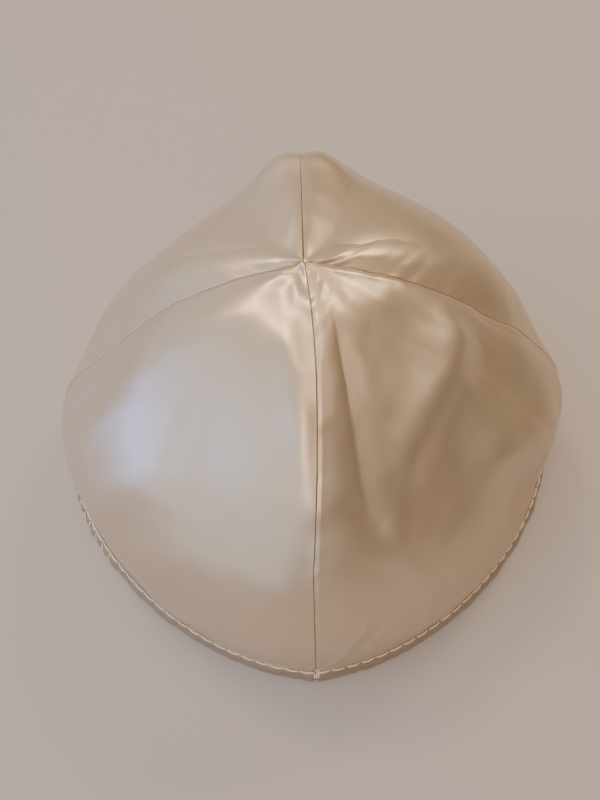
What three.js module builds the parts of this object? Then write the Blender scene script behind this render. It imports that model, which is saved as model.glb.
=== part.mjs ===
// A skullcap of four satin gores with a turned and topstitched edge.
// Millimetres, +Z up. It rests on its edge at z = 0, with its middle over the origin.
// The back of the cap faces -Y, so its left side is at -X.
import * as THREE from 'three';
import { mergeVertices } from 'three/addons/utils/BufferGeometryUtils.js';

// Driving sizes
const EDGE_DIAMETER = 170;    // across the edge, from one seam to the seam opposite
const HEIGHT = 80;            // from the edge to the top of the crown
const CLOTH = 1.2;            // satin with its stiff backing
const HEM_HEIGHT = 5;         // from the fold at the edge up to the topstitching
const HEM_TURN = 9;           // how far the turned cloth reaches up inside
const HEM_FLARE = 1.8;        // how far the fold stands out past the topstitching
const HEM_ROUND = 0.5;        // rounding of the fold
const PIECE_GAP = 0.3;        // between neighbouring pieces
const TURN_GAP = 0.5;         // between the turned cloth and the gores

// How finely the cloth is divided
const GORE_COLUMNS = 22;
const GORE_ROWS = 22;
const HEM_STEPS = 128;
const COLUMN_CROWDING = 0.5;  // draws the columns of a gore towards its two seams

// Sizes that follow
const QUARTER = Math.PI / 2;
const EDGE_RADIUS = EDGE_DIAMETER / 2;
const GORE_FOOT = HEM_HEIGHT + PIECE_GAP;
const HEM_THICKNESS = CLOTH + TURN_GAP + CLOTH;

// The crown's profile in each direction, round from the back seam by the right.
// reach is a share of EDGE_RADIUS, at the fold. A width power over 1 makes the top more pointed,
// and one under 1 makes it fuller. A height power under 1 makes the lower wall steeper. pull is
// how far a seam draws the cloth in at half height, as a share of EDGE_RADIUS.
const PROFILES = [
  { at: 'back seam', reach: 1.0, widthPower: 0.95, heightPower: 1.0, pull: 0.012 },
  { at: 'back right gore', reach: 0.945, widthPower: 1.2, heightPower: 1.1 },
  { at: 'right seam', reach: 1.0, widthPower: 1.45, heightPower: 0.88, pull: 0.02 },
  { at: 'front right gore', reach: 0.935, widthPower: 0.74, heightPower: 0.98 },
  { at: 'front seam', reach: 1.0, widthPower: 0.67, heightPower: 0.8, pull: 0.045 },
  { at: 'front left gore', reach: 0.9, widthPower: 0.84, heightPower: 1.15 },
  { at: 'left seam', reach: 1.0, widthPower: 1.45, heightPower: 1.02, pull: 0.02 },
  { at: 'back left gore', reach: 0.94, widthPower: 1.2, heightPower: 1.0 },
];
const GORE_FLATNESS = 1.15;   // over 1, a gore is hollower beside its seams
const SEAM_WIDTH = 0.045;     // of what a seam draws in, as a share of a gore's width
const STITCH_FADE = 6;        // the topstitching draws the lower wall in; higher is more abrupt

// Folds and dents. A place is [degrees round from the back seam, share of the way down];
// positive degrees go round the right side. width and depth are shares of EDGE_RADIUS, and a
// depth below 0 is a hollow.
const FOLDS = [
  { name: 'right crease', from: [17, 0.14], to: [17, 0.57], width: 0.04, depth: -0.013 },
  { name: 'right crease ridge', from: [27, 0.14], to: [23, 0.57], width: 0.07, depth: 0.012 },
  { name: 'low right crease', from: [7, 0.48], to: [17, 0.57], width: 0.04, depth: -0.009 },
  { name: 'low right ridge', from: [18, 0.58], to: [24, 0.78], width: 0.06, depth: 0.009 },
  { name: 'right upper hollow', from: [48, 0.25], to: [62, 0.22], width: 0.12, depth: -0.014 },
  { name: 'right soft ridge', from: [72, 0.36], to: [28, 0.4], width: 0.08, depth: 0.012 },
  { name: 'right lower hollow', from: [70, 0.55], to: [40, 0.56], width: 0.17, depth: -0.018 },
  { name: 'right side dent', from: [60, 0.74], to: [68, 0.8], width: 0.2, depth: -0.05 },
  { name: 'right side swell', from: [84, 0.82], to: [90, 0.82], width: 0.14, depth: 0.022 },
  { name: 'left seam valley', from: [-9, 0.04], to: [-4, 0.2], width: 0.03, depth: -0.012 },
  { name: 'left seam ridge', from: [-7, 0.12], to: [-2, 0.36], width: 0.04, depth: 0.012 },
  { name: 'left soft hollow', from: [-52, 0.4], to: [-24, 0.5], width: 0.2, depth: -0.012 },
  { name: 'left shoulder', from: [-80, 0.6], to: [-90, 0.58], width: 0.22, depth: -0.034 },
  { name: 'front right puff', from: [173, 0.3], to: [174, 0.54], width: 0.09, depth: 0.025 },
  { name: 'front left puff', from: [-172, 0.3], to: [-173, 0.54], width: 0.09, depth: 0.028 },
];
const FOLD_FADE = 6;          // keeps the folds off the top and the edge; higher is more abrupt
const CROWN_ARC = 1.5;        // length of the profile as a share of EDGE_RADIUS

// The gores, each from one seam to the next, in degrees round from the back seam
const SATIN = { color: 0xd8c8b2, roughness: 0.38, metalness: 0 };
const GORES = [
  { name: 'back_right_panel', from: 0 },
  { name: 'front_right_panel', from: 90 },
  { name: 'front_left_panel', from: 180 },
  { name: 'back_left_panel', from: 270 },
];

// Radius and height of the plain crown at an angle and a share of the way down
function profilePoint(angle, down) {
  const turn = THREE.MathUtils.euclideanModulo(angle, 4 * QUARTER) / QUARTER;
  const quarter = Math.floor(turn);
  const share = turn - quarter;
  const [firstSeam, middle, lastSeam] = [0, 1, 2].map((step) =>
    PROFILES[(2 * quarter + step) % PROFILES.length]);
  const across = (1 - Math.cos(share * Math.PI)) / 2;
  const outward = Math.sin(share * Math.PI) ** GORE_FLATNESS;
  const blend = (value) => {
    const seams = THREE.MathUtils.lerp(value(firstSeam), value(lastSeam), across);
    return THREE.MathUtils.lerp(seams, value(middle), outward);
  };
  const sine = Math.sin(down * QUARTER);
  const cosine = Math.max(Math.cos(down * QUARTER), 0);
  const reach = blend((row) => row.reach * sine ** row.widthPower);
  const rise = blend((row) => cosine ** row.heightPower);
  const seam = share < 0.5 ? firstSeam : lastSeam;
  const fromSeam = Math.min(share, 1 - share) / SEAM_WIDTH;
  const pull = seam.pull * Math.exp(-(fromSeam ** 2)) * Math.sin(2 * down * QUARTER);
  const drawnIn = HEM_FLARE * down ** STITCH_FADE;
  const radius = EDGE_RADIUS * (reach - pull) - drawnIn;
  return new THREE.Vector2(radius, GORE_FOOT + (HEIGHT - GORE_FOOT) * rise);
}

// Outward direction, square to the profile
function profileNormal(angle, down) {
  if (down === 0) return new THREE.Vector2(0, 1);
  const step = 0.01;
  const above = profilePoint(angle, Math.max(down - step, 0));
  const below = profilePoint(angle, Math.min(down + step, 1));
  const along = below.sub(above).normalize();
  return new THREE.Vector2(-along.y, along.x);
}

// Where a place lies when the crown is spread flat, in shares of EDGE_RADIUS
function flatPlace(angle, down) {
  const reach = CROWN_ARC * down;
  return new THREE.Vector3(reach * Math.sin(angle), -reach * Math.cos(angle), 0);
}

// How far the folds lift the cloth at a place
function foldLift(angle, down) {
  const place = flatPlace(angle, down);
  const nearest = new THREE.Vector3();
  let lift = 0;
  for (const fold of FOLDS) {
    const ends = [fold.from, fold.to].map(([degrees, share]) =>
      flatPlace(THREE.MathUtils.degToRad(degrees), share));
    new THREE.Line3(...ends).closestPointToPoint(place, true, nearest);
    const away = nearest.distanceTo(place) / fold.width;
    lift += fold.depth * Math.exp(-(away ** 2));
  }
  return EDGE_RADIUS * lift * (1 - (2 * down - 1) ** FOLD_FADE);
}

// A point of the crown at an angle, a share of the way down and a depth into the cloth
function crownPoint(angle, down, depth) {
  const normal = profileNormal(angle, down);
  const point = profilePoint(angle, down).addScaledVector(normal, foldLift(angle, down) - depth);
  return new THREE.Vector3(point.x * Math.sin(angle), -point.x * Math.cos(angle), point.y);
}

// Merges what meets, and drops the triangles that this has closed up
function closedBody(geometry) {
  geometry.deleteAttribute('normal');
  geometry.deleteAttribute('uv');
  const merged = mergeVertices(geometry);
  const corners = merged.index.array;
  const kept = [];
  for (let i = 0; i < corners.length; i += 3) {
    const [a, b, c] = corners.slice(i, i + 3);
    if (a !== b && b !== c && c !== a) kept.push(a, b, c);
  }
  merged.setIndex(kept);
  merged.computeVertexNormals();
  return merged;
}

// One gore: a block bent so that its width runs round the crown, its height runs from the edge
// to the top, and its depth is the cloth
function gore(name, fromDegrees) {
  const block = new THREE.BoxGeometry(1, 1, 1, GORE_COLUMNS, GORE_ROWS, 1);
  const place = block.attributes.position;
  const start = THREE.MathUtils.degToRad(fromDegrees);
  for (let i = 0; i < place.count; i += 1) {
    const even = place.getX(i) + 0.5;
    const crowded = even - COLUMN_CROWDING * Math.sin(2 * Math.PI * even) / (2 * Math.PI);
    const down = 0.5 - place.getY(i);
    const depth = CLOTH * (0.5 - place.getZ(i));
    const point = crownPoint(start + crowded * QUARTER, down, depth);
    place.setXYZ(i, point.x, point.y, point.z);
  }
  const mesh = new THREE.Mesh(closedBody(block), new THREE.MeshStandardMaterial(SATIN));
  mesh.name = name;
  const middle = start + QUARTER / 2;
  mesh.position.set(Math.sign(Math.sin(middle)), -Math.sign(Math.cos(middle)), 0);
  mesh.position.multiplyScalar(PIECE_GAP / 2);
  return mesh;
}

// The turned edge: a band flaring out to the fold, and the turned cloth standing inside the
// gores. Its section is in depth from the fold's outline, and height.
function hem() {
  const inside = HEM_FLARE + CLOTH + TURN_GAP;
  const innerFace = HEM_FLARE + HEM_THICKNESS;
  const section = [
    [HEM_ROUND, 0],
    [0, HEM_ROUND],
    [HEM_FLARE, HEM_HEIGHT - HEM_ROUND],
    [HEM_FLARE + HEM_ROUND, HEM_HEIGHT],
    [inside, HEM_HEIGHT],
    [inside, HEM_TURN],
    [innerFace, HEM_TURN],
    [innerFace, HEM_HEIGHT],
    [HEM_THICKNESS, HEM_ROUND],
    [HEM_THICKNESS - HEM_ROUND, 0],
    [HEM_ROUND, 0],
  ];
  const outline = section.map(([depth, height]) => new THREE.Vector2(EDGE_RADIUS - depth, height));
  const ring = new THREE.LatheGeometry(outline, HEM_STEPS);
  ring.rotateX(QUARTER);
  const place = ring.attributes.position;
  for (let i = 0; i < place.count; i += 1) {
    const x = place.getX(i);
    const y = place.getY(i);
    const angle = Math.atan2(x, -y);
    const foldRadius = profilePoint(angle, 1).x + HEM_FLARE;
    const radius = foldRadius - EDGE_RADIUS + Math.hypot(x, y);
    place.setXYZ(i, radius * Math.sin(angle), -radius * Math.cos(angle), place.getZ(i));
  }
  const mesh = new THREE.Mesh(closedBody(ring), new THREE.MeshStandardMaterial(SATIN));
  mesh.name = 'rim_hem';
  return mesh;
}

const skullcap = new THREE.Group();
for (const { name, from } of GORES) skullcap.add(gore(name, from));
skullcap.add(hem());

export default skullcap;
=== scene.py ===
"""A four-gore satin skullcap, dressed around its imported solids. Metres, +Z up, the back towards -Y."""

import math

import bpy
import numpy as np
from bpy.props import FloatProperty, FloatVectorProperty, IntProperty, PointerProperty
from mathutils import Matrix, Vector


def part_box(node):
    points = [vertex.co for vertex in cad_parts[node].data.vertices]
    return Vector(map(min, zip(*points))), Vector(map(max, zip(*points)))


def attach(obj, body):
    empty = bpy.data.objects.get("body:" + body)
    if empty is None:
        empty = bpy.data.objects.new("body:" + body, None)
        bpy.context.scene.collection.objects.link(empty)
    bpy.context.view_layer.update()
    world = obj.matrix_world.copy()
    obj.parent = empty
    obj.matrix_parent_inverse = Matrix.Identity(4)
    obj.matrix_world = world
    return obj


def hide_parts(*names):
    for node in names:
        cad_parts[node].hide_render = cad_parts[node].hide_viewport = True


bl_info = {
    "name": "Satin Skullcap",
    "version": (1, 0, 0),
    "blender": (4, 5, 0),
    "location": "View3D > Sidebar > Skullcap",
    "description": "Models a four-gore satin skullcap with a puckered, topstitched edge",
    "category": "Object",
}

MM = 0.001
QUARTER = math.pi / 2
FULL_TURN = 4 * QUARTER

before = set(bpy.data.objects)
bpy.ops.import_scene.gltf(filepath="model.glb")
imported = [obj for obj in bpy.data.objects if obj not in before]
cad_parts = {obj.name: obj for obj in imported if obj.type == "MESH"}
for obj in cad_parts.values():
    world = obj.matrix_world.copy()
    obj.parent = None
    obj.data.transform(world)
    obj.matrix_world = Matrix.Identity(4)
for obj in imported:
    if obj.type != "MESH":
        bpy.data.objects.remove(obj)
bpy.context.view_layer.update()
EDGE_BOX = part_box("rim_hem")
GORE_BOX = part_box("back_right_panel")
EDGE_RADIUS = (EDGE_BOX[1][0] - EDGE_BOX[0][0]) / 2
HEIGHT = GORE_BOX[1][2]
HEM_TURN = EDGE_BOX[1][2]
# The topstitching runs in the middle of the gap between the solids of the gores and the hem
SOLIDS_GAP = 0.3 * MM
STITCH_LINE = GORE_BOX[0][2] - SOLIDS_GAP / 2

# The gores, each by its first seam, in degrees round from the back seam by the right
GORES = {
    "back_right_panel": 0,
    "front_right_panel": 90,
    "front_left_panel": 180,
    "back_left_panel": 270,
}

# How round the cloth of each gore turns into its first and its last seam, by the crown and
# lower down, as a share of the seam roll. One side of a seam turns in more keenly.
SEAM_ROUNDNESS = {
    "back_right_panel": ((0.3, 0.12), (0.4, 0.2)),
    "front_right_panel": ((0.25, 0.3), (0.15, 0.0)),
    "front_left_panel": ((0.6, 0.0), (0.4, 0.2)),
    "back_left_panel": ((0.3, 0.3), (0.25, 0.12)),
}

# The crown's profile in each direction, round from the back seam by the right: the reach at the
# edge as a share of EDGE_RADIUS, the width power, the height power, and the seam's pull
PROFILES = np.array([
    (1.0, 0.95, 1.0, 0.012),
    (0.945, 1.2, 1.1, 0.0),
    (1.0, 1.45, 0.88, 0.02),
    (0.935, 0.74, 0.98, 0.0),
    (1.0, 0.67, 0.8, 0.045),
    (0.9, 0.84, 1.15, 0.0),
    (1.0, 1.45, 1.02, 0.02),
    (0.94, 1.2, 1.0, 0.0),
])
# Over 1, a gore is hollower beside its seams
GORE_FLATNESS = 1.15
# How much of a gore's width a seam draws in, which is more where the front gores meet the sides
SEAM_WIDTH = 0.045
GENTLE_SEAM_WIDTH = 0.15
# Length of the profile as a share of EDGE_RADIUS
CROWN_ARC = 1.5
# Keeps the folds off the top and the edge; higher is more abrupt
FOLD_FADE = 6
# How far the turned edge's fold stands out past the topstitching
HEM_FLARE = 1.8 * MM
# How the topstitching draws the lower wall in; higher is more abrupt
STITCH_FADE = 6
# How the front gores fall away behind the side seams: over what reach, and how steeply
FALL_REACH = 28 * MM
FALL_SLOPE = 0.1
# From the wall of a gore to the middle of a seam
SEAM_GAP = 0.03 * MM
# How far the seam allowances reach from a seam on the inside, and how much they add
ALLOWANCE_REACH = 7 * MM
ALLOWANCE_THICKNESS = 0.6 * MM
# Between the outer wall and the cloth turned up inside the edge
TURN_GAP = 0.5 * MM
# Points round the edge where its length is measured
EDGE_SAMPLES = 2881
# Where the left side is sewn over the edge, in degrees round from the back seam by the right
OVERCAST_MIDDLE = 294
OVERCAST_REACH = 14
# How far its threads and those of the knot go down, as shares of the way to the fold
OVERCAST_LENGTH = 0.95
KNOT_LENGTH = 0.4
# The knot at the foot of the back seam, by where its threads cross the edge
KNOT_THREADS = (-0.35 * MM, 0.3 * MM, 0.9 * MM)
# How far the back seam wanders to the right between the crown and its middle, and how far
# beside it the cloth goes along
SEAM_BOW = 1.9 * MM
BOW_WIDTH = 9 * MM

# Seeds of the random draws
PUCKER_SEED = 5
LONG_PUCKER_SEED = 17
RIGHT_SEAM_SEED = 7
HEM_SEED = 29
THREAD_SEED = 11

# The large folds: their line as (degrees round, share of the way down), and their width and
# depth as shares of EDGE_RADIUS. A depth below 0 is a hollow.
LARGE_FOLDS = {
    "right crease": ([(15, 0.2), (13, 0.5)], 0.05, -0.005),
    "right crease ridge": ([(25, 0.14), (20, 0.57)], 0.08, 0.004),
    "low right crease": ([(7, 0.48), (17, 0.57)], 0.04, -0.005),
    "low right ridge": ([(18, 0.58), (24, 0.78)], 0.06, 0.009),
    "right upper hollow": ([(48, 0.3), (64, 0.28)], 0.1, -0.008),
    "right soft ridge": ([(72, 0.4), (28, 0.45)], 0.08, 0.012),
    "right lower hollow": ([(70, 0.55), (40, 0.56)], 0.17, -0.018),
    "right side dent": ([(56, 0.8), (68, 0.88)], 0.15, -0.05),
    "right side shoulder": ([(52, 0.58), (72, 0.72)], 0.12, 0.024),
    "right side hollow": ([(72, 0.46), (88, 0.5)], 0.1, -0.014),
    "right side swell": ([(84, 0.82), (90, 0.82)], 0.14, 0.022),
    "left seam valley": ([(-9, 0.04), (-4, 0.2)], 0.03, -0.008),
    "left seam ridge": ([(-13, 0.1), (-7.6, 0.236), (-4.5, 0.33)], 0.06, 0.008),
    "left soft hollow": ([(-52, 0.4), (-24, 0.5)], 0.2, -0.012),
    "left shoulder": ([(-80, 0.6), (-90, 0.58)], 0.22, -0.034),
    "front right puff": ([(173, 0.3), (174, 0.54)], 0.09, 0.025),
    "front left puff": ([(-172, 0.3), (-173, 0.54)], 0.09, 0.028),
    "front left hollow": ([(-126, 0.1), (-124, 0.42)], 0.18, -0.018),
    "front right hollow": ([(125, 0.2), (125, 0.36)], 0.16, -0.012),
}

# The soft folds that the solids are too coarse for, written the same way
SMALL_FOLDS = {
    "left seam shelf": ([(-5.5, 0.3), (-3.5, 0.367), (-2.2, 0.426), (-1.0, 0.48)], 0.035, 0.006),
    "left oval dent": ([(-38, 0.105), (-20, 0.13)], 0.055, -0.011),
    "left brow": ([(-60, 0.1), (-28, 0.105)], 0.04, 0.004),
    "right break": ([(84, 0.26), (66, 0.22), (44, 0.185), (26, 0.22)], 0.06, 0.004),
    "right cream dent": ([(30, 0.1), (34, 0.14)], 0.03, -0.004),
    "streak": ([(69, 0.39), (57, 0.39), (45, 0.405), (35, 0.435), (27, 0.455)], 0.055, 0.006),
    "low right lap": ([(2.5, 0.93), (6, 0.84), (10, 0.76)], 0.016, 0.006),
    "low right lap hollow": ([(5, 0.94), (9, 0.85), (13, 0.78)], 0.02, -0.005),
}

# The sharp creases, each with a keen line whose two faces rise away from it, or fall where it is a
# ridge: the line, the reach of the face before it and of the one after it (going round by the
# right), the depth, and the rounding of the line itself
CREASES = {
    "right crease": (
        [(24, 0.1), (18, 0.15), (15, 0.2), (13.5, 0.27), (12.5, 0.36), (12, 0.45),
         (13, 0.51), (17, 0.57)], 0.012, 0.06, -0.007, 0.003),
    "low right crease": ([(6.5, 0.475), (12, 0.52), (17, 0.57)], 0.012, 0.04, -0.006, 0.003),
    "right shelf": (
        [(40, 0.53), (50, 0.575), (59.5, 0.665), (70.5, 0.79), (80, 0.88)],
        0.11, 0.1, 0.021, 0.014),
}

# Where one side of a seam slopes into it and so catches the light: the gore, which of its seams,
# the width of the slope and its steepness
SEAM_SLOPES = {
    ("back_right_panel", 0): (1.1 * MM, 0.27),
    ("back_right_panel", 1): (1.2 * MM, 0.2),
    ("back_left_panel", 0): (1.0 * MM, 0.25),
}


def linear_colour(hex_code):
    """An sRGB hex colour as linear red, green and blue."""
    parts = [int(hex_code[i:i + 2], 16) / 255 for i in (1, 3, 5)]
    return tuple(c / 12.92 if c <= 0.04045 else ((c + 0.055) / 1.055) ** 2.4 for c in parts)


class SkullcapSizes(bpy.types.PropertyGroup):
    """The sizes that a user would change."""

    cloth: FloatProperty(
        name="Cloth", description="Thickness of the satin with its backing",
        default=1.2 * MM, unit="LENGTH")
    seam_roll: FloatProperty(
        name="Seam roll", description="Rounding of the cloth where it turns into a seam",
        default=0.8 * MM, unit="LENGTH")
    welt_height: FloatProperty(
        name="Welt height", description="Rise of the seam allowance under the cloth",
        default=0.12 * MM, unit="LENGTH")
    pucker_depth: FloatProperty(
        name="Pucker depth", description="How far each topstitch draws the cloth in",
        default=0.2 * MM, unit="LENGTH")
    stitch_pitch: FloatProperty(
        name="Stitch pitch", description="From one topstitch to the next",
        default=4.4 * MM, unit="LENGTH")
    thread: FloatProperty(
        name="Thread", description="Thickness of the topstitching thread",
        default=0.52 * MM, unit="LENGTH")
    gore_steps: IntProperty(
        name="Gore steps", description="Divisions of a gore from a seam to its middle",
        default=150, min=20, max=155)


class SkullcapColours(bpy.types.PropertyGroup):
    """The colours that a user would change."""

    satin: FloatVectorProperty(
        name="Satin", description="Colour of the satin", subtype="COLOR",
        default=linear_colour("#D3C0A4"))
    satin_deep: FloatVectorProperty(
        name="Deep satin", description="The satin's warmer patches", subtype="COLOR",
        default=linear_colour("#C8B093"))
    thread: FloatVectorProperty(
        name="Thread", description="Colour of the topstitching", subtype="COLOR",
        default=linear_colour("#F2DFB9"))
    floor: FloatVectorProperty(
        name="Floor", description="Colour of the floor", subtype="COLOR",
        default=linear_colour("#BAB1AA"))


# The crown's form

def profile_point(angle, down):
    """Radius and height of the plain crown at angles and shares of the way down."""
    turn = np.mod(angle, FULL_TURN) / QUARTER
    quarter = np.floor(turn).astype(int) % 4
    share = turn - np.floor(turn)
    first = PROFILES[2 * quarter]
    middle = PROFILES[2 * quarter + 1]
    last = PROFILES[(2 * quarter + 2) % len(PROFILES)]
    across = (1 - np.cos(share * math.pi)) / 2
    outward = np.sin(share * math.pi) ** GORE_FLATNESS

    def blend(value):
        seams = value(first) * (1 - across) + value(last) * across
        return seams * (1 - outward) + value(middle) * outward

    sine = np.sin(down * QUARTER)
    cosine = np.maximum(np.cos(down * QUARTER), 0)
    reach = blend(lambda row: row[..., 0] * sine ** row[..., 1])
    rise = blend(lambda row: cosine ** row[..., 2])
    seam_pull = np.where(share < 0.5, first[..., 3], last[..., 3])
    gentle = ((quarter == 1) & (share < 0.5)) | ((quarter == 2) & (share >= 0.5))
    seam_width = np.where(gentle, GENTLE_SEAM_WIDTH, SEAM_WIDTH)
    from_seam = np.minimum(share, 1 - share) / seam_width
    pull = seam_pull * np.exp(-from_seam ** 2) * np.sin(2 * down * QUARTER)
    radius = EDGE_RADIUS * (reach - pull) - HEM_FLARE * down ** STITCH_FADE
    return radius, STITCH_LINE + (HEIGHT - STITCH_LINE) * rise


def profile_normal(angle, down):
    """The outward direction square to the profile, as its outward and upward shares."""
    step = 0.004
    above = profile_point(angle, np.maximum(down - step, 0))
    below = profile_point(angle, np.minimum(down + step, 1))
    out, up = above[1] - below[1], below[0] - above[0]
    length = np.maximum(np.hypot(out, up), 1e-9)
    top = down < 1e-6
    return np.where(top, 0, out / length), np.where(top, 1, up / length)


def flat_place(angle, down):
    """Where a place lies when the crown is spread flat."""
    reach = CROWN_ARC * EDGE_RADIUS * down
    return np.stack([reach * np.sin(angle), -reach * np.cos(angle)], axis=-1)


def around(angle, radius, height):
    """Points at angles round from the back seam, by their radius and height."""
    return np.stack([radius * np.sin(angle), -radius * np.cos(angle), height], axis=-1)


def soft_step(share):
    """Rises gently from 0 to 1 as the share does."""
    share = np.clip(share, 0, 1)
    return share * share * (3 - 2 * share)


def line_measures(place, line):
    """Of places beside a line of joined points: the distance to it, which side they lie on, how
    far along it their foot lies, and its length."""
    away = np.full(place.shape[:-1], np.inf)
    side = np.zeros(place.shape[:-1])
    walked = np.zeros(place.shape[:-1])
    gone = 0.0
    for start, end in zip(line[:-1], line[1:]):
        along = end - start
        length = np.linalg.norm(along)
        share = np.clip(((place - start) @ along) / length ** 2, 0, 1)
        offset = place - start - share[..., None] * along
        distance = np.linalg.norm(offset, axis=-1)
        nearer = distance < away
        turn = along[0] * (place - start)[..., 1] - along[1] * (place - start)[..., 0]
        away = np.where(nearer, distance, away)
        side = np.where(nearer, turn, side)
        walked = np.where(nearer, gone + share * length, walked)
        gone += length
    return away, side, walked, gone


def fold_lift(angle, down, folds):
    """How far a table of folds lifts the cloth."""
    place = flat_place(angle, down)
    lift = np.zeros(np.shape(angle))
    for points, width, depth in folds.values():
        line = [flat_place(math.radians(degrees), share) for degrees, share in points]
        away = line_measures(place, line)[0] / (width * EDGE_RADIUS)
        lift += depth * EDGE_RADIUS * np.exp(-away ** 2)
    return lift * (1 - (2 * down - 1) ** FOLD_FADE)


def crease_lift(angle, down):
    """How far the sharp creases lift the cloth. A crease dies out softly at its two ends."""
    place = flat_place(angle, down)
    lift = np.zeros(np.shape(angle))
    for points, before, after, depth, rounding in CREASES.values():
        line = [flat_place(math.radians(degrees), share) for degrees, share in points]
        away, side, walked, length = line_measures(place, line)
        reach = EDGE_RADIUS * np.where(side > 0, after, before)
        strength = soft_step(np.minimum(walked, length - walked) / (0.3 * length))
        keen = np.hypot(away, rounding * EDGE_RADIUS) / reach
        lift += depth * EDGE_RADIUS * strength * np.exp(-keen)
    return lift


def ripple(place, wavelength, seed, waves=8):
    """Soft seeded ripples between about -1 and 1, of wavelengths round the one given."""
    draw = np.random.default_rng(seed)
    total = np.zeros(place.shape[:-1])
    for _ in range(waves):
        heading = draw.uniform(0, 2 * math.pi)
        length = wavelength * draw.uniform(0.7, 1.5)
        wave = np.array([math.cos(heading), math.sin(heading)]) * 2 * math.pi / length
        total += np.cos(place @ wave + draw.uniform(0, 2 * math.pi))
    return total / math.sqrt(waves * 2)


def wobble(distance, wavelength, seed):
    """The same along a line."""
    place = np.stack([distance, np.zeros_like(distance)], axis=-1)
    return ripple(place, wavelength, seed, waves=6)


class Edge:
    """The outline of the cap's edge, with the topstitches spaced evenly along it."""

    def __init__(self, pitch):
        self.angle = np.linspace(0, FULL_TURN, EDGE_SAMPLES)
        radius = self.radius(self.angle)
        x, y = radius * np.sin(self.angle), -radius * np.cos(self.angle)
        steps = np.hypot(np.diff(x), np.diff(y))
        self.walked = np.concatenate([[0], np.cumsum(steps)])
        self.length = self.walked[-1]
        self.stitches = round(self.length / pitch)
        self.pitch = self.length / self.stitches

    @staticmethod
    def radius(angle):
        """The radius of the edge at angles."""
        return profile_point(angle, np.ones_like(angle))[0]

    def distance(self, angle):
        """How far along the edge angles lie."""
        return np.interp(np.mod(angle, FULL_TURN), self.angle, self.walked)

    def angle_at(self, distance):
        """The angles at distances along the edge."""
        return np.interp(np.mod(distance, self.length), self.walked, self.angle)

    def pucker(self, angle):
        """How hard the topstitching draws the cloth in: 1 at a stitch hole, 0 between two."""
        walked = self.distance(angle)
        hole = (1 + np.cos(2 * math.pi * walked / self.pitch)) / 2
        unevenness = 0.75 + 0.35 * wobble(walked, 3.1 * self.pitch, PUCKER_SEED)
        return hole * unevenness


# The pieces' meshes

def new_object(name, points, faces, smooth_angle):
    """A mesh object at the origin, with its place in its mesh."""
    mesh = bpy.data.meshes.new(name)
    mesh.from_pydata(points, [], faces)
    mesh.validate()
    obj = bpy.data.objects.new(name, mesh)
    bpy.context.scene.collection.objects.link(obj)
    bpy.ops.object.select_all(action="DESELECT")
    obj.select_set(True)
    bpy.context.view_layer.objects.active = obj
    bpy.ops.object.shade_smooth_by_angle(angle=math.radians(smooth_angle))
    return obj


def crowded(steps, crowding):
    """Shares from 0 to 1 that lie closer together at both ends."""
    even = np.linspace(0, 1, steps + 1)
    return even - crowding * np.sin(2 * math.pi * even) / (2 * math.pi)


def gore_grid(steps):
    """A square grid spread over a quarter of the crown: angle from the first seam, and share
    of the way down. Two sides of the square are the seams and two are the edge."""
    along = crowded(steps, 0.85)
    a, b = np.meshgrid(along, along, indexing="ij")
    down = np.maximum(a, b)
    smaller = np.minimum(a, b) / np.maximum(down, 1e-9)
    turn = np.where(a >= b, smaller / 2, 1 - smaller / 2)
    return turn * QUARTER, down


def seam_puckers(along_seam, from_seam, seed):
    """Little ripples that the seam's stitches draw across the cloth beside it."""
    slant = 0.35
    run = along_seam + slant * from_seam
    ripples = wobble(run, 5.5 * MM, seed) * np.exp(-from_seam / (3.2 * MM))
    longer = wobble(run, 13 * MM, seed + 50) * np.exp(-from_seam / (7 * MM))
    return 0.12 * MM * ripples + 0.16 * MM * longer


def stitch_puckers(angle, above, sizes, edge):
    """How the topstitching moves the cloth above it."""
    lift = -sizes.pucker_depth * edge.pucker(angle) * np.exp(-above / (1.6 * MM))
    long_puckers = wobble(edge.distance(angle), 1.9 * edge.pitch, LONG_PUCKER_SEED)
    lift += 0.22 * MM * long_puckers * np.exp(-above / (6 * MM))
    # The wall stands back from it, most of all at the left side
    lift -= 0.6 * MM * np.exp(-((above - 5 * MM) / (5 * MM)) ** 2)
    from_left = (np.degrees(angle) - 300) / 16
    lift -= 1.5 * MM * np.exp(-from_left ** 2 - ((above - 9 * MM) / (9 * MM)) ** 2)
    return lift


def rounded_drop(distance, size):
    """How far the cloth has turned down, at distances from an edge with a rounding of that size."""
    into = np.clip(size - distance, 0, size)
    return size - np.sqrt(size ** 2 - into ** 2)


def seam_drop(name, which, beside, down, sizes):
    """How far the cloth turns down into the first or the last seam of a gore."""
    crown, foot = SEAM_ROUNDNESS[name][which]
    width, slope = SEAM_SLOPES.get((name, which), (0, 0))
    soft = 0.15 * MM
    into_slope = (width - beside + np.hypot(width - beside, soft)) / 2
    run = CROWN_ARC * EDGE_RADIUS * down
    drop = slope * into_slope * np.clip((run - 5 * MM) / (8 * MM), 0, 1)
    roll = sizes.seam_roll * (crown + (foot - crown) * np.clip(down / 0.6, 0, 1))
    return drop + rounded_drop(beside, roll)


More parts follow.
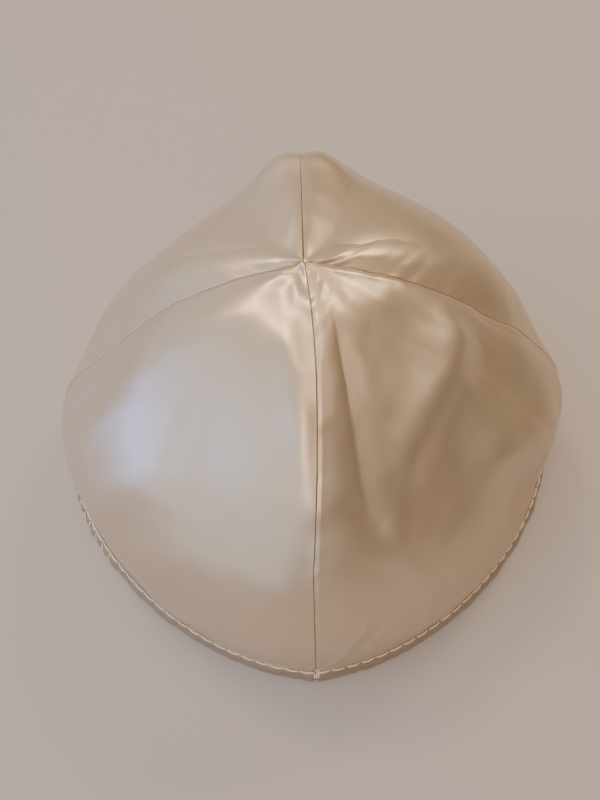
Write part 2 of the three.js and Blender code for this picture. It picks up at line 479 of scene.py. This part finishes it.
def gore_lift(angle, down, turn, name, sizes, edge):
    """How far the outer face of a gore lies from the plain crown."""
    radius, height = profile_point(angle, down)
    from_first = radius * np.sin(turn)
    from_last = radius * np.cos(turn)
    from_seam = np.minimum(from_first, from_last)
    run = CROWN_ARC * EDGE_RADIUS * down
    seed = GORES[name]

    lift = fold_lift(angle, down, LARGE_FOLDS) + fold_lift(angle, down, SMALL_FOLDS)
    lift += crease_lift(angle, down)
    flat = flat_place(angle, down)
    body = np.clip(from_seam / (12 * MM), 0, 1)
    lift += 0.28 * MM * body * ripple(flat, 26 * MM, seed + 1)
    lift += 0.06 * MM * ripple(flat, 9 * MM, seed + 2)
    lift += seam_puckers(run, from_first, seed + 3) + seam_puckers(run, from_last, seed + 93)

    above = np.maximum(height - STITCH_LINE, 0)
    lift += stitch_puckers(angle, above, sizes, edge)

    # Stronger puckers along the middle of the right seam
    if seed in (0, 90):
        beside = from_last if seed == 0 else from_first
        stretch = np.exp(-((run - 46 * MM) / (10 * MM)) ** 2) * np.exp(-beside / (1.8 * MM))
        lift += 0.16 * MM * stretch * wobble(run, 2.3 * MM, RIGHT_SEAM_SEED)

    # The front gores fall away behind the side seams, so that these show as a soft edge
    if seed in (90, 180):
        reach = FALL_REACH * np.tanh(radius / FALL_REACH)
        lift -= FALL_SLOPE * reach * np.sin(2 * turn) ** 2 * soft_step((0.75 - down) / 0.4)

    # The seam allowances, pressed to the back of the side seams
    welt_seams = {0: from_last, 270: from_first}
    if seed in welt_seams:
        beside = welt_seams[seed]
        shoulder = np.exp(-((beside - 1.3 * MM) / (1.1 * MM)) ** 4)
        fade = np.clip((0.8 - down) / 0.3, 0, 1)
        lift += sizes.welt_height * shoulder * fade

    # The cloth turns down into the seams and the stitch line
    for which, beside in enumerate((from_first, from_last)):
        lift -= seam_drop(name, which, beside, down, sizes)
    edge_rounding = 0.12 * MM
    return lift - rounded_drop(above, edge_rounding)


def gore_wall(angle, down, lift, first_degrees):
    """Points of the crown at a lift, moved clear of the gore's two seams."""
    radius, height = profile_point(angle, down)
    out, up = profile_normal(angle, down)
    radius = np.maximum(radius + out * lift, 0)
    middle = math.radians(first_degrees + 45)
    bow = SEAM_BOW * np.sin(math.pi * np.clip(down / 0.6, 0, 1) ** 0.8)
    beside_seam = radius * np.sin(angle) / BOW_WIDTH
    bow = np.where(np.cos(angle) > 0, bow * np.exp(-beside_seam ** 2), 0)
    # The front seam is closed tighter below the crown
    tight = 1 - 0.75 * np.clip(-3 * np.cos(angle), 0, 1) * soft_step((down - 0.15) / 0.15)
    x = radius * np.sin(angle) + SEAM_GAP * tight * np.sign(math.sin(middle)) + bow
    y = -radius * np.cos(angle) - SEAM_GAP * np.sign(math.cos(middle))
    return np.stack([x, y, height + up * lift], axis=-1)


def closed_sheet(outer, inner):
    """Points and faces of a wall between two square grids."""
    count = outer.shape[0]
    index = np.arange(count * count).reshape(count, count)
    quads = np.stack([index[:-1, :-1], index[1:, :-1], index[1:, 1:], index[:-1, 1:]], axis=-1)
    outside = quads.reshape(-1, 4)
    inside = outside[:, ::-1] + count * count
    rim = np.concatenate([index[:, 0], index[-1, 1:], index[-2::-1, -1], index[0, -2:0:-1]])
    after = np.roll(rim, -1)
    border = np.stack([after, rim, rim + count * count, after + count * count], axis=-1)
    points = np.concatenate([outer.reshape(-1, 3), inner.reshape(-1, 3)])
    return points, np.concatenate([outside, inside, border])


def add_cloth_map(obj, uv):
    """A UV map in metres: across the weave, then along it."""
    layer = obj.data.uv_layers.new(name="cloth")
    corners = np.empty(len(obj.data.loops), dtype=np.int32)
    obj.data.loops.foreach_get("vertex_index", corners)
    layer.data.foreach_set("uv", uv[corners].astype(np.float32).ravel())


def make_gore(name, sizes, edge):
    """One satin gore, as a closed wall of cloth."""
    first = GORES[name]
    turn, down = gore_grid(sizes.gore_steps)
    angle = math.radians(first) + turn
    lift = gore_lift(angle, down, turn, name, sizes, edge)
    outer = gore_wall(angle, down, lift, first)
    radius = profile_point(angle, down)[0]
    from_seam = radius * np.minimum(np.sin(turn), np.cos(turn))
    allowance = np.clip(ALLOWANCE_REACH - from_seam, 0, ALLOWANCE_THICKNESS)
    inner_lift = fold_lift(angle, down, LARGE_FOLDS) - sizes.cloth - allowance
    inner = gore_wall(angle, down, inner_lift, first)
    points, faces = closed_sheet(outer, inner)
    obj = new_object(name.replace("panel", "gore"), points.tolist(), faces.tolist(), 50)
    uv = flat_place(angle, down).reshape(-1, 2)
    add_cloth_map(obj, np.concatenate([uv, uv]))
    return obj


def hem_section(sizes):
    """The turned edge's section, round from its top outside: depth in from the stitch line (the
    flare stands out of it), height, and how much of the puckers it follows."""
    thick = 2 * sizes.cloth + TURN_GAP
    fold = thick / 2
    inside = thick - sizes.cloth
    corner = 0.3 * MM
    rows = []
    for share in np.linspace(0, 1, 13)[:-1]:
        puff = 0.45 * MM * math.sin(math.pi * share ** 0.8) ** 0.8
        dip = 0.3 * MM * max(1 - share / 0.08, 0)
        out = HEM_FLARE * share
        rows.append((dip - puff - out, STITCH_LINE + (fold - STITCH_LINE) * share, 1.0))
    for turn in np.linspace(0, math.pi, 14):
        depth = fold - fold * math.cos(turn) - HEM_FLARE
        height = fold - fold * math.sin(turn) ** 0.7
        rows.append((depth, height, 0.9 * math.cos(turn / 2) ** 2))
    for share in np.linspace(0, 1, 7)[1:]:
        lean = HEM_FLARE * (1 - min(share * 1.6, 1))
        rows.append((thick - lean, fold + (HEM_TURN - corner - fold) * share, 0.1 * share))
    rows += [
        (thick - corner, HEM_TURN, 0.1),
        (inside + corner, HEM_TURN, 0.1),
        (inside, HEM_TURN - corner, 0.1),
        (inside, STITCH_LINE + 0.2 * MM, 0.1),
        (inside, STITCH_LINE - 0.2 * MM, 0.3),
        (0.8 * MM, STITCH_LINE - 0.05 * MM, 0.8),
    ]
    return np.array(rows)


def make_hem(sizes, edge):
    """The edge of the cap: its cloth turned under, puffed out between the stitches."""
    columns = 900
    section = hem_section(sizes)
    angle = edge.angle_at(np.linspace(0, edge.length, columns, endpoint=False))[:, None]
    depth, height, follows = (section[:, k][None, :] for k in range(3))
    walked = edge.distance(angle)
    overcast = np.exp(-((np.degrees(angle) - OVERCAST_MIDDLE) / OVERCAST_REACH) ** 4)
    drawn = sizes.pucker_depth * edge.pucker(angle) * (1 + 2.5 * overcast)
    swell = 0.3 * MM * wobble(walked, 2.3 * edge.pitch, HEM_SEED) + 0.4 * MM * overcast
    middle_height = np.sin(math.pi * np.clip(height / STITCH_LINE, 0, 1))
    to_seam = np.abs(np.mod(angle + QUARTER / 2, QUARTER) - QUARTER / 2) * EDGE_RADIUS
    bulk = 0.45 * MM * np.exp(-(to_seam / (3.5 * MM)) ** 2) * middle_height
    groove = 0.55 * MM * np.exp(-(to_seam / (0.45 * MM)) ** 2)
    lift = follows * (swell * middle_height - drawn + bulk - groove)
    radius = edge.radius(angle) - depth + lift
    points = around(angle, radius, height + 0 * angle)
    rows = section.shape[0]
    index = np.arange(columns * rows).reshape(columns, rows)
    beside = np.roll(index, -1, axis=0)
    faces = np.stack([
        index, np.roll(index, -1, axis=1), np.roll(beside, -1, axis=1), beside], axis=-1)
    obj = new_object("turned_hem", points.reshape(-1, 3).tolist(), faces.reshape(-1, 4).tolist(), 60)
    run = np.concatenate([[0], np.cumsum(np.hypot(*np.diff(section[:, :2], axis=0).T))])
    uv = np.stack(np.broadcast_arrays(walked, run[None, :]), axis=-1).reshape(-1, 2)
    add_cloth_map(obj, uv)
    return obj


def stitch_shape():
    """One topstitch: a rounded length of thread from -0.5 to 0.5 along X."""
    bpy.ops.object.select_all(action="DESELECT")
    bpy.ops.mesh.primitive_cylinder_add(vertices=8, radius=0.5, depth=1, end_fill_type="TRIFAN")
    stitch = bpy.context.object
    bpy.ops.object.mode_set(mode="EDIT")
    bpy.ops.mesh.select_all(action="SELECT")
    for cut in (-0.46, -0.38, -0.25, -0.1, 0.1, 0.25, 0.38, 0.46):
        bpy.ops.mesh.bisect(plane_co=(0, 0, cut), plane_no=(0, 0, 1))
        bpy.ops.mesh.select_all(action="SELECT")
    bpy.ops.object.mode_set(mode="OBJECT")
    points = np.array([vertex.co[:] for vertex in stitch.data.vertices])
    faces = [tuple(polygon.vertices) for polygon in stitch.data.polygons]
    bpy.data.objects.remove(stitch)
    along = points[:, 2]
    fullness = np.sqrt(np.clip(1 - (2 * np.abs(along)) ** 6, 0.02, 1))
    return np.stack([along, points[:, 0] * fullness, points[:, 1] * fullness], axis=-1), faces


def lay_stitch(shape, middle, sizes, edge, draw):
    """One topstitch along the edge, bedded in the cloth at its two ends."""
    length = 0.95 * edge.pitch * draw.uniform(0.94, 1.04)
    tilt = draw.normal(0, 0.05)
    rise = draw.normal(0, 0.07) * MM
    angle = edge.angle_at(middle + shape[:, 0] * length)
    bow = 1 - (2 * shape[:, 0]) ** 2
    drawn = sizes.pucker_depth * edge.pucker(angle)
    out = edge.radius(angle) - drawn * 0.5 + (0.16 * bow + 0.12) * MM
    radius = out + shape[:, 1] * sizes.thread
    height = STITCH_LINE + rise + shape[:, 2] * sizes.thread + tilt * shape[:, 0] * length
    return around(angle, radius, height)


def lay_wrap(shape, middle, reach, sizes, edge, draw):
    """A thread that crosses the turned edge from a stitch hole down towards the fold."""
    along = (shape[:, 0] + 0.5) * reach
    slant = draw.normal(0, 0.5) * MM * along
    angle = edge.angle_at(middle + slant + shape[:, 1] * sizes.thread)
    out = HEM_FLARE * along + 0.3 * MM * np.sin(math.pi * along) - 2.2 * sizes.pucker_depth
    radius = edge.radius(angle) + out + 0.75 * MM + shape[:, 2] * sizes.thread
    height = STITCH_LINE + (0.4 * MM - STITCH_LINE) * along
    return around(angle, radius, height)


def make_topstitching(sizes, edge):
    """The topstitches round the edge, the threads that cross it at the left, and the knot."""
    shape, shape_faces = stitch_shape()
    draw = np.random.default_rng(THREAD_SEED)
    points = [lay_stitch(shape, (number + 0.5) * edge.pitch, sizes, edge, draw)
              for number in range(edge.stitches)]
    for number in range(edge.stitches):
        hole = number * edge.pitch
        from_middle = abs(math.degrees(edge.angle_at(hole)) - OVERCAST_MIDDLE)
        if from_middle < OVERCAST_REACH:
            points.append(lay_wrap(shape, hole, OVERCAST_LENGTH, sizes, edge, draw))
    for place in KNOT_THREADS:
        points.append(lay_wrap(shape, place, KNOT_LENGTH, sizes, edge, draw))
    count = len(shape)
    faces = [tuple(corner + number * count for corner in face)
             for number in range(len(points)) for face in shape_faces]
    obj = new_object("topstitching", np.concatenate(points).tolist(), faces, 60)
    bpy.ops.object.mode_set(mode="EDIT")
    bpy.ops.mesh.select_all(action="SELECT")
    bpy.ops.mesh.normals_make_consistent(inside=False)
    bpy.ops.object.mode_set(mode="OBJECT")
    return obj


# The materials

def add_node(tree, kind, inputs=None, **settings):
    """Adds a node, with its settings, and fills or links its inputs."""
    node = tree.nodes.new(kind)
    for name, value in settings.items():
        setattr(node, name, value)
    for name, value in (inputs or {}).items():
        if isinstance(value, bpy.types.NodeSocket):
            tree.links.new(value, node.inputs[name])
        else:
            node.inputs[name].default_value = value
    return node


def new_material(name):
    """An empty node material, and its tree and output."""
    material = bpy.data.materials.new(name)
    material.use_nodes = True
    tree = material.node_tree
    tree.nodes.clear()
    output = add_node(tree, "ShaderNodeOutputMaterial")
    return material, tree, output


def wave_scale(spacing):
    """The Wave texture's scale for lines that far apart."""
    return 2 * math.pi / (20 * spacing)


def polyester_satin(name, colours, shade=1.0):
    """Polyester satin, woven with long floats and pressed: a soft glossy face whose highlights
    spread across the floats, a faint streak along them, and a warmer tone here and there."""
    material, tree, output = new_material(name)
    cloth = add_node(tree, "ShaderNodeUVMap", uv_map="cloth").outputs["UV"]
    place = add_node(tree, "ShaderNodeTexCoord").outputs["Object"]
    patches = add_node(tree, "ShaderNodeTexNoise", {
        "Vector": place, "Scale": 1 / (45 * MM), "Detail": 2.0, "Roughness": 0.5})
    # shade darkens both tones, for a painted shade copy of the satin
    tone = add_node(tree, "ShaderNodeMix", {
        "Factor": patches.outputs["Fac"],
        "A": (*(shade * part for part in colours.satin), 1),
        "B": (*(shade * part for part in colours.satin_deep), 1)}, data_type="RGBA")
    # Threads are 0.12 mm apart; the streaks along them are drawn 0.3 mm wide so that they show
    streak_place = add_node(tree, "ShaderNodeMapping", {
        "Vector": cloth, "Scale": (1 / (0.3 * MM), 1 / (9 * MM), 1)}).outputs["Vector"]
    streaks = add_node(tree, "ShaderNodeTexNoise", {
        "Vector": streak_place, "Scale": 1.0, "Detail": 2.0, "Roughness": 0.5})
    # The warp's fine ribs, drawn every 0.45 mm
    weave = add_node(tree, "ShaderNodeTexWave", {
        "Vector": cloth, "Scale": wave_scale(0.45 * MM), "Distortion": 0.5, "Detail": 1.0,
        "Detail Scale": 2.0}, wave_type="BANDS", bands_direction="X")
    streak_bump = add_node(tree, "ShaderNodeBump", {
        "Height": streaks.outputs["Fac"], "Strength": 0.06, "Distance": 0.03 * MM})
    bump = add_node(tree, "ShaderNodeBump", {
        "Height": weave.outputs["Fac"], "Strength": 0.08, "Distance": 0.03 * MM,
        "Normal": streak_bump.outputs["Normal"]})
    gloss = add_node(tree, "ShaderNodeMapRange", {
        "Value": streaks.outputs["Fac"], "From Min": 0.3, "From Max": 0.7,
        "To Min": 0.3, "To Max": 0.38})
    tangent = add_node(tree, "ShaderNodeTangent", direction_type="UV_MAP", uv_map="cloth")
    shader = add_node(tree, "ShaderNodeBsdfPrincipled", {
        "Base Color": tone.outputs["Result"], "Roughness": gloss.outputs["Result"],
        "Metallic": 0.58, "IOR": 1.6, "Specular IOR Level": 1.0, "Anisotropic": 0.35,
        "Sheen Weight": 0.04, "Sheen Roughness": 0.4,
        "Tangent": tangent.outputs["Tangent"], "Normal": bump.outputs["Normal"]})
    tree.links.new(shader.outputs["BSDF"], output.inputs["Surface"])
    return material


def painted_shade_satin(name, colours):
    """The same satin folded under, painted darker as painted shade, for the turned edge that lies in
    shade.
    """
    return polyester_satin(name, colours, shade=0.6)


def cotton_thread(name, colours):
    """Twisted cotton sewing thread: matte, slightly fuzzy, its plies showing as slanting lines."""
    material, tree, output = new_material(name)
    place = add_node(tree, "ShaderNodeTexCoord").outputs["Object"]
    plies = add_node(tree, "ShaderNodeTexWave", {
        "Vector": place, "Scale": wave_scale(0.45 * MM), "Distortion": 1.0},
        wave_type="BANDS", bands_direction="DIAGONAL")
    bump = add_node(tree, "ShaderNodeBump", {
        "Height": plies.outputs["Fac"], "Strength": 0.4, "Distance": 0.1 * MM})
    shader = add_node(tree, "ShaderNodeBsdfPrincipled", {
        "Base Color": (*colours.thread, 1), "Roughness": 0.65, "IOR": 1.53,
        "Sheen Weight": 0.3, "Normal": bump.outputs["Normal"]})
    tree.links.new(shader.outputs["BSDF"], output.inputs["Surface"])
    return material


def pale_floor(name, colours):
    """A plain pale matte board."""
    material, tree, output = new_material(name)
    shader = add_node(tree, "ShaderNodeBsdfPrincipled", {
        "Base Color": (*colours.floor, 1), "Roughness": 0.85})
    tree.links.new(shader.outputs["BSDF"], output.inputs["Surface"])
    return material


def shared_material(name, make):
    """The material of that name, made the first time."""
    return bpy.data.materials.get(name) or make(name, bpy.context.scene.skullcap_colours)


# The operators

class SKULLCAP_OT_gores(bpy.types.Operator):
    """Make the four satin gores"""

    bl_idname = "skullcap.gores"
    bl_label = "Gores"

    def execute(self, context):
        sizes = context.scene.skullcap_sizes
        edge = Edge(sizes.stitch_pitch)
        for name in GORES:
            gore = make_gore(name, sizes, edge)
            gore.data.materials.append(shared_material("polyester_satin_woven", polyester_satin))
            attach(gore, "root")
            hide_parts(name)
        return {"FINISHED"}


class SKULLCAP_OT_hem(bpy.types.Operator):
    """Make the turned edge with its topstitching"""

    bl_idname = "skullcap.hem"
    bl_label = "Hem and topstitching"

    def execute(self, context):
        sizes = context.scene.skullcap_sizes
        edge = Edge(sizes.stitch_pitch)
        hem = make_hem(sizes, edge)
        # The hem's satin is a darker copy of the gores' satin: painted shade
        hem.data.materials.append(shared_material("polyester_satin_painted_shade", painted_shade_satin))
        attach(hem, "root")
        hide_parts("rim_hem")
        stitches = make_topstitching(sizes, edge)
        stitches.data.materials.append(shared_material("cotton_thread_twisted", cotton_thread))
        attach(stitches, "root")
        return {"FINISHED"}


# The camera at the photo's angle, with lengths in metres and pixels of a 600 by 800 frame
IMAGE_WIDTH, IMAGE_HEIGHT = 600, 800
FOCAL_PIXELS = 572.3
CAMERA_DISTANCE = 0.2084
CAMERA_ELEVATION = 59.43
CAMERA_AZIMUTH = -0.47
CAMERA_ROLL = 1.24
AXIS_PIXEL = (307.7, 428.1)


class SKULLCAP_OT_stage(bpy.types.Operator):
    """Make the floor, the lights and the camera"""

    bl_idname = "skullcap.stage"
    bl_label = "Stage"

    def execute(self, context):
        self.add_camera(context)
        self.add_floor()
        self.add_lights(context)
        self.add_room(context)
        return {"FINISHED"}

    @staticmethod
    def add_camera(context):
        """The camera stands at the photo's angle to the cap."""
        elevation, azimuth, roll = (
            math.radians(a) for a in (CAMERA_ELEVATION, CAMERA_AZIMUTH, CAMERA_ROLL))
        back = Vector((
            math.sin(azimuth) * math.cos(elevation),
            -math.cos(azimuth) * math.cos(elevation),
            math.sin(elevation)))
        level = Vector((math.cos(azimuth), math.sin(azimuth), 0))
        rise = back.cross(level)
        right = level * math.cos(roll) - rise * math.sin(roll)
        up = level * math.sin(roll) + rise * math.cos(roll)
        turn = Matrix((right, up, back)).transposed().to_4x4()
        data = bpy.data.cameras.new("photo_camera")
        data.sensor_width = 36
        data.lens = FOCAL_PIXELS * data.sensor_width / IMAGE_HEIGHT
        data.shift_x = (IMAGE_WIDTH / 2 - AXIS_PIXEL[0]) / IMAGE_HEIGHT
        data.shift_y = (AXIS_PIXEL[1] - IMAGE_HEIGHT / 2) / IMAGE_HEIGHT
        data.clip_start = 0.01
        camera = bpy.data.objects.new("photo_camera", data)
        camera.matrix_world = Matrix.Translation(back * CAMERA_DISTANCE) @ turn
        context.scene.collection.objects.link(camera)
        context.scene.camera = camera

    @staticmethod
    def add_floor():
        """A plain pale floor under the cap."""
        bpy.ops.object.select_all(action="DESELECT")
        bpy.ops.mesh.primitive_plane_add(size=6, location=(0, 0, 0))
        floor = bpy.context.object
        floor.name = "floor"
        floor.data.materials.append(shared_material("pale_board_matte", pale_floor))

    @staticmethod
    def add_lights(context):
        """A window's cool light at the left, and warm lamps overhead and round the cap."""
        cap_middle = Vector((0, 0, 0.04))
        lights = {
            "window": ((-1.02, -0.02, 0.28), (0.6, 0.4), 3.1, "#6C94FF"),
            "window_glow": ((-0.8, -0.67, 0.68), (2.2, 1.4), 6.5, "#C4DAFF"),
            "lamp_overhead": ((0.0, 0.25, 1.05), (0.5, 0.7), 2.4, "#FFEAC6"),
            "lamp_left": ((-0.36, 0.5, 0.86), (0.26, 0.16), 2.5, "#FFE6C8"),
            "lamp_right": ((0.44, 0.6, 0.72), (0.26, 0.13), 2.3, "#FFE6C8"),
            "lamp_side": ((0.52, -0.02, 0.8), (0.24, 0.3), 0.34, "#FFE6CA"),
            "lamp_near": ((-0.1, -0.5, 0.9), (0.18, 0.8), 3.0, "#FFE4C6"),
        }
        for name, (place, size, power, colour) in lights.items():
            data = bpy.data.lights.new(name, "AREA")
            data.shape = "RECTANGLE"
            data.size, data.size_y = size
            data.energy = power
            data.color = linear_colour(colour)
            light = bpy.data.objects.new(name, data)
            light.location = place
            towards = cap_middle - light.location
            light.rotation_euler = towards.to_track_quat("-Z", "Y").to_euler()
            context.scene.collection.objects.link(light)

    @staticmethod
    def add_room(context):
        """A plain room that is bright on the window's side and dark on the other."""
        world = bpy.data.worlds.new("soft_room")
        world.use_nodes = True
        tree = world.node_tree
        heading = add_node(tree, "ShaderNodeTexCoord").outputs["Generated"]
        sideways = add_node(tree, "ShaderNodeSeparateXYZ", {"Vector": heading}).outputs["X"]
        share = add_node(tree, "ShaderNodeMapRange", {
            "Value": sideways, "From Min": -1.0, "From Max": 1.0}).outputs["Result"]
        ramp = add_node(tree, "ShaderNodeValToRGB", {"Fac": share})
        stops = ramp.color_ramp.elements
        stops[0].color = (*linear_colour("#E6F1FF"), 1)
        stops[1].color = (*linear_colour("#3C332B"), 1)
        stops.new(0.42).color = (*linear_colour("#C9BFB6"), 1)
        stops.new(0.56).color = (*linear_colour("#AB9482"), 1)
        background = tree.nodes["Background"]
        tree.links.new(ramp.outputs["Color"], background.inputs["Color"])
        background.inputs["Strength"].default_value = 1.0
        context.scene.world = world


class SKULLCAP_PT_panel(bpy.types.Panel):
    """Lists the skullcap's sizes, colours and operators"""

    bl_label = "Skullcap"
    bl_idname = "SKULLCAP_PT_panel"
    bl_space_type = "VIEW_3D"
    bl_region_type = "UI"
    bl_category = "Skullcap"

    def draw(self, context):
        for group in (context.scene.skullcap_sizes, context.scene.skullcap_colours):
            for name in group.__annotations__:
                self.layout.prop(group, name)
        for operator in OPERATORS:
            self.layout.operator(operator.bl_idname)


OPERATORS = (SKULLCAP_OT_stage, SKULLCAP_OT_gores, SKULLCAP_OT_hem)
CLASSES = (SkullcapSizes, SkullcapColours, *OPERATORS, SKULLCAP_PT_panel)


def register():
    for cls in CLASSES:
        bpy.utils.register_class(cls)
    bpy.types.Scene.skullcap_sizes = PointerProperty(type=SkullcapSizes)
    bpy.types.Scene.skullcap_colours = PointerProperty(type=SkullcapColours)


def unregister():
    del bpy.types.Scene.skullcap_colours
    del bpy.types.Scene.skullcap_sizes
    for cls in reversed(CLASSES):
        bpy.utils.unregister_class(cls)


def main():
    """Registers the classes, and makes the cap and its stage."""
    register()
    bpy.ops.skullcap.stage()
    bpy.ops.skullcap.gores()
    bpy.ops.skullcap.hem()


if __name__ == "__main__":
    main()
